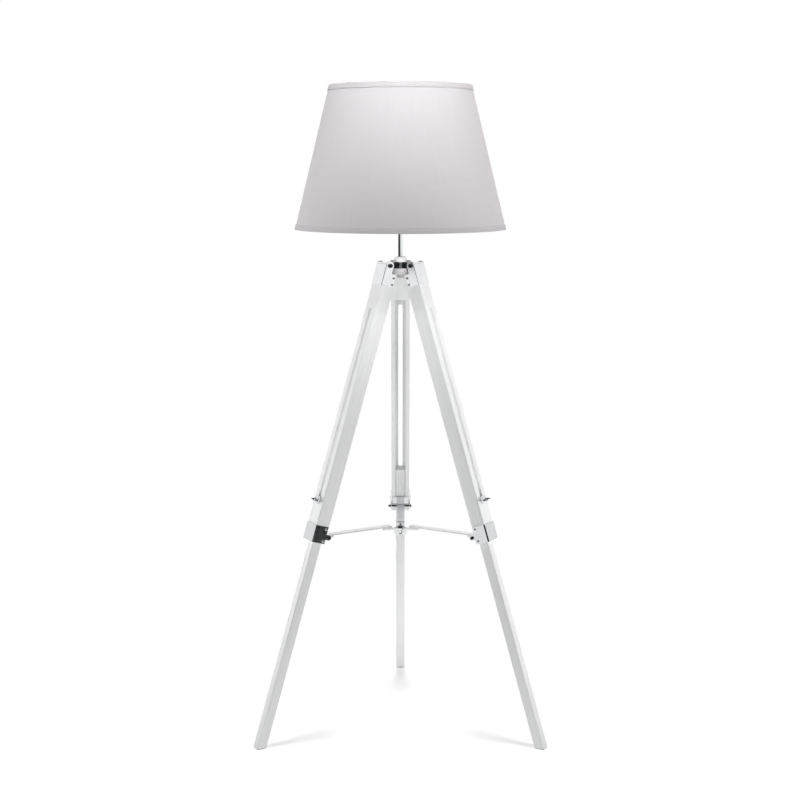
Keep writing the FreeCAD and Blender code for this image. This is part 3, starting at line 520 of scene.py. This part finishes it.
def add_screw(shell, seat, out, up, turn):
    """One screw in a mesh, seated at a point, facing out, with its cross turned by an angle."""
    side = out.cross(up)
    first = up*math.cos(turn) + side*math.sin(turn)
    second = out.cross(first)
    loops = []
    for ring in screw_rings():
        loops.append([shell.verts.new(seat + first*u + second*v + out*h) for u, v, h in ring])
    for number, (inner, outer) in enumerate(zip(loops, loops[1:])):
        for k in range(RING_POINTS):
            face = shell.faces.new([inner[k - 1], inner[k], outer[k], outer[k - 1]])
            face.material_index = SHADED_RECESS if number == 0 else 0
    for loop, height in ((loops[0], HEAD_RISE - CROSS_MIDDLE_DEPTH), (loops[-1], -SCREW_LENGTH)):
        middle = shell.verts.new(seat + out*height)
        for k in range(RING_POINTS):
            face = shell.faces.new([loop[k - 1], loop[k], middle])
            face.material_index = SHADED_RECESS if loop is loops[0] else 0


def as_object(mesh_data, name, body, material, crease=180):
    """A smooth piece of the lamp that rides on a body, with edges past an angle kept sharp."""
    mesh = bpy.data.meshes.new(name)
    bmesh.ops.recalc_face_normals(mesh_data, faces=mesh_data.faces)
    mesh_data.to_mesh(mesh)
    mesh_data.free()
    for face in mesh.polygons:
        face.use_smooth = True
    mesh.set_sharp_from_angle(angle=math.radians(crease))
    piece = bpy.data.objects.new(name, mesh)
    bpy.context.scene.collection.objects.link(piece)
    mesh.materials.append(material)
    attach(piece, body)
    return piece


screw_steel = plated("screw_steel", (0.62, 0.62, 0.635), 0.2, 0.08, 0.1, 0.0001)
for leg, azimuth in LEGS.items():
    angle = math.radians(azimuth)
    sideways = Vector((-math.sin(angle), math.cos(angle), 0))
    uphill = Vector((-math.sin(LEAN)*math.cos(angle), -math.sin(LEAN)*math.sin(angle), math.cos(LEAN)))
    shell = bmesh.new()
    for number, points in enumerate(peg_lists[leg]):
        out = sideways if sum(points, Vector()).dot(sideways) > 0 else -sideways
        top = max(point.dot(out) for point in points)
        crown = [point for point in points if point.dot(out) > top - 1e-5]
        seat = sum(crown, Vector())/len(crown) - out*HEAD_RISE
        add_screw(shell, seat, out, uphill, TURN_BETWEEN*number)
    screws = as_object(shell, f"leg_screws_{leg}_crossed", f"leg_{leg}", screw_steel, crease=35)
    # the second slot, black, is painted shade on the floor of each cross
    screws.data.materials.append(black_steel_and_recess_shade)
    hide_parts(f"leg_screws_{leg}")
print("domed screws with crossed heads")

# %% [markdown]
# ## The lampholder and the small parts
# The lampholder hides in the shade: a moulded white body, a ceramic insert and a brass screw shell. Its
# skirt and the two rings are threaded on the real one. The thread is too fine to cut as a shape here, so a
# wave along the height gives it as a bump.

# %% Finish the lampholder
def moulded(name, low, high, threaded):
    """Moulded plastic or fired clay with a fine grain, and a thread where one is wanted."""
    material, tree, shader = new_finish(name, Specular_IOR_Level=0.45)
    places = on_surface(tree)
    specks = speckle(tree, places, 260.0, 3.0)
    tree.links.new(tones(tree, specks, low, high), shader.inputs["Base Color"])
    tree.links.new(spread(tree, specks, 0.32, 0.5), shader.inputs["Roughness"])
    relief = bumped(tree, specks, 0.12, 0.0002)
    if threaded:
        turns = add_node(tree, "ShaderNodeTexWave", {"Vector": places, "Scale": 100.0},
                         bands_direction="Z", wave_profile="SIN")
        relief = bumped(tree, turns.outputs["Fac"], 0.7, 0.0006, relief)
    tree.links.new(relief, shader.inputs["Normal"])
    return material


WHITE_PLASTIC = ((0.80, 0.80, 0.785), (0.86, 0.86, 0.845))
paint(moulded("white_plastic", *WHITE_PLASTIC, False), "holder_cap", "cord_bushing")
threaded_plastic = moulded("threaded_white_plastic", *WHITE_PLASTIC, True)
paint(threaded_plastic, "holder_skirt", "shade_ring_lower", "shade_ring_upper")
paint(moulded("fired_ceramic", (0.80, 0.77, 0.72), (0.88, 0.86, 0.82), False), "holder_insert")
paint(plated("spun_brass", (0.78, 0.60, 0.26), 0.35, 0.2, 0.3, 0.0003), "screw_shell")
paint(plated("bulb_cap_metal", (0.72, 0.72, 0.73), 0.4, 0.25, 0.3, 0.0003), "bulb_cap")
print("lampholder and bulb cap finished")

# %% [markdown]
# The bulb is opal glass: light enters it but no shape shows through. A shader that lets light pass and
# scatters it under the surface gives that, with a faint cloudiness of the powder inside. The wires of the
# shade and the collar on the hub carry white powder coat, which has a fine orange peel. The pads under the
# feet are grey rubber with dust on it.

# %% Finish the bulb, the wires and the foot pads
opal, tree, shader = new_finish("opal_glass", Transmission_Weight=0.06, IOR=1.5, Subsurface_Weight=0.3,
                                Subsurface_Radius=(0.004, 0.004, 0.004), Coat_Weight=0.5,
                                Coat_Roughness=0.05)
powder = speckle(tree, on_surface(tree), 70.0, 5.0)
milky = tones(tree, powder, (0.88, 0.88, 0.86), (0.93, 0.93, 0.92))
tree.links.new(milky, shader.inputs["Base Color"])
tree.links.new(spread(tree, powder, 0.18, 0.34), shader.inputs["Roughness"])
paint(opal, "bulb_glass")


def coated(name, low, high, size, depth, dull):
    """A coat with a fine peel, such as powder paint or moulded rubber."""
    material, tree, shader = new_finish(name, Specular_IOR_Level=0.4)
    places = on_surface(tree)
    peel = speckle(tree, places, size, 3.0)
    dust = speckle(tree, places, size/8, 4.0)
    tree.links.new(tones(tree, dust, low, high), shader.inputs["Base Color"])
    tree.links.new(spread(tree, dust, dull - 0.12, dull), shader.inputs["Roughness"])
    tree.links.new(bumped(tree, peel, depth, 0.0002), shader.inputs["Normal"])
    return material


powder_coat = coated("white_powder_coat", (0.80, 0.80, 0.80), (0.87, 0.87, 0.87), 700.0, 0.3, 0.5)
paint(powder_coat, "shade_ring_wire", "shade_carrier", "collar")
foot_rubber = coated("foot_rubber", (0.30, 0.30, 0.31), (0.36, 0.36, 0.37), 500.0, 0.5, 0.85)
paint(foot_rubber, *(f"foot_pad_{leg}" for leg in LEGS))
print("bulb, wires and foot pads finished")

# %% [markdown]
# ## The cloth of the shade
# The shade is plain woven cloth, glued to a stiff clear lining, rolled into a cone and lapped at the back.
# A flat cut of it is a slice of a ring. The cone could be turned from one line in a modifier, but a real
# cover has a lapped seam and is never quite round. So each point is set from its angle and height: the
# cloth runs a little more than one turn, its last strip lies on top of its first, and a slow noise moves
# the surface by a quarter of a millimetre.

# %% Shape the cone
SHADE_LOW, SHADE_HIGH = 1.1378, 1.4492
RADIUS_LOW, RADIUS_HIGH = 0.2337, 0.1565
CLOTH = 0.0011
CLOTH_SINK, LAP_RISE = 0.3*CLOTH, 0.55*CLOTH
LAP = 0.012
COLUMNS = 240
HOLLOWS = ((9.0, 0.00025), (26.0, 0.0001))  # how fine a noise is, and how far it moves the cloth


def cone_radius(z):
    """Radius of the cloth's outer face at a height."""
    share = (z - SHADE_LOW)/(SHADE_HIGH - SHADE_LOW)
    return RADIUS_LOW + (RADIUS_HIGH - RADIUS_LOW)*share


def cloth_point(turn, z, lift):
    """A point on the rolled cloth; the turn starts and ends at the back."""
    angle = math.pi/2 + turn*2*math.pi
    radius = cone_radius(z) + lift
    spot = Vector((radius*math.cos(angle), radius*math.sin(angle), z))
    hollow = sum(noise.noise(spot*fineness)*depth for fineness, depth in HOLLOWS)
    return Vector(((radius + hollow)*math.cos(angle), (radius + hollow)*math.sin(angle), z))


print(f"cone from {2000*RADIUS_LOW:.0f} to {2000*RADIUS_HIGH:.0f} mm across")

# %% [markdown]
# The weave is drawn on a flat map of the cloth, which keeps real lengths: one unit along the map is one
# metre round the middle of the shade. Two waves at right angles give warp and weft. Two stretched noises
# make some threads thicker, as spun yarn is. A wave texture repeats every 0.314 at scale one, so that number
# over the thread's pitch is its scale.

# %% Weave the cloth
WAVE_AT_SCALE_ONE = 0.314


def woven(name, low, high, pitch, depth):
    """Plain weave with uneven threads, drawn on the piece's flat map."""
    material, tree, shader = new_finish(name, Specular_IOR_Level=0.2, Sheen_Weight=0.15, Sheen_Roughness=0.5)
    flat = add_node(tree, "ShaderNodeUVMap", uv_map="flat_cut").outputs[0]
    threads = []
    for way, along in (("X", (14, 300, 1)), ("Y", (300, 14, 1))):
        settings = {"Vector": flat, "Scale": WAVE_AT_SCALE_ONE/pitch, "Distortion": 0.6, "Detail": 1.0}
        wave = add_node(tree, "ShaderNodeTexWave", settings, bands_direction=way, wave_profile="SIN")
        slub = speckle(tree, stretched(tree, flat, along), 1.0, 3.0)
        threads.append(combined(tree, "MULTIPLY", wave.outputs["Fac"], slub))
    cloth = combined(tree, "ADD", *threads)
    tree.links.new(tones(tree, cloth, low, high, 0.1, 0.9), shader.inputs["Base Color"])
    tree.links.new(spread(tree, cloth, 0.7, 0.92), shader.inputs["Roughness"])
    tree.links.new(bumped(tree, cloth, depth, 0.0003), shader.inputs["Normal"])
    return material


shade_cloth = woven("shade_cloth", (0.56, 0.538, 0.554), (0.632, 0.611, 0.627), 0.0009, 0.35)
shade_tape = woven("shade_tape", (0.523, 0.503, 0.517), (0.584, 0.567, 0.582), 0.0007, 0.5)
print("cloth and tape woven")

# %% [markdown]
# Now the cloth itself. A flat sheet could be bent by a modifier, but then the lap would cut through itself.
# Two grids of points, one for the outer face and one for the inner face, are rolled side by side and joined
# along the four cut edges. The cover is hidden from mirrors at the end, because its dark inside would make
# the tops of the caps grey.

# %% Make the cover
def rolled_cover():
    """The lapped cone of cloth, with its outer face, inner face and four edges."""
    shell = bmesh.new()
    flat_cut = shell.loops.layers.uv.new("flat_cut")
    round_length = math.pi*(RADIUS_LOW + RADIUS_HIGH)
    rows = 36
    lap_turn = LAP/round_length
    turns = [i/COLUMNS for i in range(COLUMNS + 1)] + [1 + lap_turn*k/4 for k in (1, 2, 3, 4)]
    heights = [SHADE_LOW + (SHADE_HIGH - SHADE_LOW)*k/rows for k in range(rows + 1)]
    faces = {}
    for side, depth in (("outer", 0.0), ("inner", -CLOTH/2)):
        grid = []
        for turn in turns:
            rise = min(1.0, max(0.0, (turn - (1 - lap_turn))/lap_turn))
            lift = depth + rise*LAP_RISE - CLOTH_SINK
            grid.append([shell.verts.new(cloth_point(turn, z, lift)) for z in heights])
        faces[side] = grid
    for grid in faces.values():
        for i in range(len(turns) - 1):
            for k in range(rows):
                corners = [(i, k), (i + 1, k), (i + 1, k + 1), (i, k + 1)]
                face = shell.faces.new([grid[a][b] for a, b in corners])
                for loop, (a, b) in zip(face.loops, corners):
                    loop[flat_cut].uv = (turns[a]*round_length, heights[b])
    border = [(i, 0) for i in range(len(turns))] + [(len(turns) - 1, k) for k in range(1, rows + 1)]
    border += [(i, rows) for i in range(len(turns) - 2, -1, -1)] + [(0, k) for k in range(rows - 1, 0, -1)]
    for here, there in zip(border, border[1:] + border[:1]):
        edge = [here, there, there, here]
        grids = [faces["outer"], faces["outer"], faces["inner"], faces["inner"]]
        face = shell.faces.new([grid[a][b] for grid, (a, b) in zip(grids, edge)])
        for loop, (a, b) in zip(face.loops, edge):
            loop[flat_cut].uv = (turns[a]*round_length, heights[b])
    return shell


cover = as_object(rolled_cover(), "shade_cover_cloth", "head", shade_cloth)
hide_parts("shade_cover")
cover.visible_glossy = False
print(f"cover: {len(cover.data.polygons)} faces")

# %% [markdown]
# ## The tapes on the rims
# A folded tape hides each cut edge of the cover and holds the wire ring. It is laid over the rim from the
# outside to the inside. A bent strip of thirteen points is carried round the rim, and it swells slightly in
# its middle, because a fold never lies quite flat. The upper tape stands proud at its edge, and the lower
# one is pressed down there.

# %% Fold the tapes
RIMS = {"top": (1.45, -1), "bottom": (1.137, 1)}  # height, and 1 where the shade lies above it
TAPE_HEIGHT = 0.012
TAPE_FINENESS, TAPE_SWELL = 40.0, 0.00012
# points of the strip: distance out from the cloth, and share of the tape's height away from the rim
PRESSED_EDGE = [(-0.00048, 1.0), (0.00024, 0.92), (0.00072, 0.80)]
PROUD_EDGE = [(0.00008, 1.0), (0.00064, 0.97), (0.00088, 0.80)]
TAPE_FACE = [(0.00088, 0.45), (0.00076, 0.16), (0.00032, 0.03), (-0.00048, 0.0)]
TAPE_BACK = [(-0.00128, 0.03), (-0.00168, 0.16), (-0.00176, 0.5), (-0.00168, 0.85), (-0.00104, 0.9),
             (-0.00072, 0.5)]


def folded_tape(rim, into):
    """Tape over the rim at a height; into is 1 where the shade lies above it and -1 where it lies below."""
    band = bmesh.new()
    flat_cut = band.loops.layers.uv.new("flat_cut")
    strip = (PRESSED_EDGE if into > 0 else PROUD_EDGE) + TAPE_FACE + TAPE_BACK
    loops = []
    for i in range(COLUMNS):
        angle = math.pi/2 + 2*math.pi*i/COLUMNS
        ring = []
        for out, share in strip:
            z = rim + into*share*TAPE_HEIGHT
            inside = min(SHADE_HIGH, max(SHADE_LOW, z))
            radius = cone_radius(inside) + out
            spot = Vector((radius*math.cos(angle), radius*math.sin(angle), z))
            radius += noise.noise(spot*TAPE_FINENESS)*TAPE_SWELL
            ring.append(band.verts.new((radius*math.cos(angle), radius*math.sin(angle), z)))
        loops.append(ring)
    lengths = [0.0]
    for (a, b), (c, d) in zip(strip, strip[1:]):
        lengths.append(lengths[-1] + math.hypot(a - c, (b - d)*TAPE_HEIGHT))
    around = 2*math.pi*cone_radius(rim)
    for i in range(COLUMNS):
        for k in range(len(strip)):
            corners = [(i, k), (i + 1, k), (i + 1, k + 1), (i, k + 1)]
            patch = band.faces.new([loops[a % COLUMNS][b % len(strip)] for a, b in corners])
            for loop, (a, b) in zip(patch.loops, corners):
                loop[flat_cut].uv = (a/COLUMNS*around, lengths[min(b, len(strip) - 1)])
    return band


tapes = {}
for rim, (height, into) in RIMS.items():
    band = folded_tape(height, into)
    tapes[rim] = as_object(band, f"shade_tape_{rim}", "head", shade_tape, crease=60)
    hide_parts(f"shade_trim_{rim}")
print("two tapes folded over the rims")

# %% [markdown]
# One lamp is left for the shade and what is in it. It is steep, so the edge of the upper tape throws a thin
# shadow, and the bulb is lit through the open top. It could hang with the others, but it would wash out the
# metal below. It is told what to light, now that the cloth exists.

# %% Light the shade
shade_top_lamp = soft_lamp("shade_top_lamp", (0, -0.75, 2.7), (0, -0.2, 1.25), (0.3, 0.3), 0.37, 40)
in_the_shade = [lamp_nodes[name] for name in ("bulb_glass", "shade_ring_wire", "shade_carrier")]
shade_parts = light_group("shade_parts", [cover, *tapes.values(), *in_the_shade], "INCLUDE")
shade_top_lamp.light_linking.receiver_collection = shade_parts
print("one steep lamp for the shade")
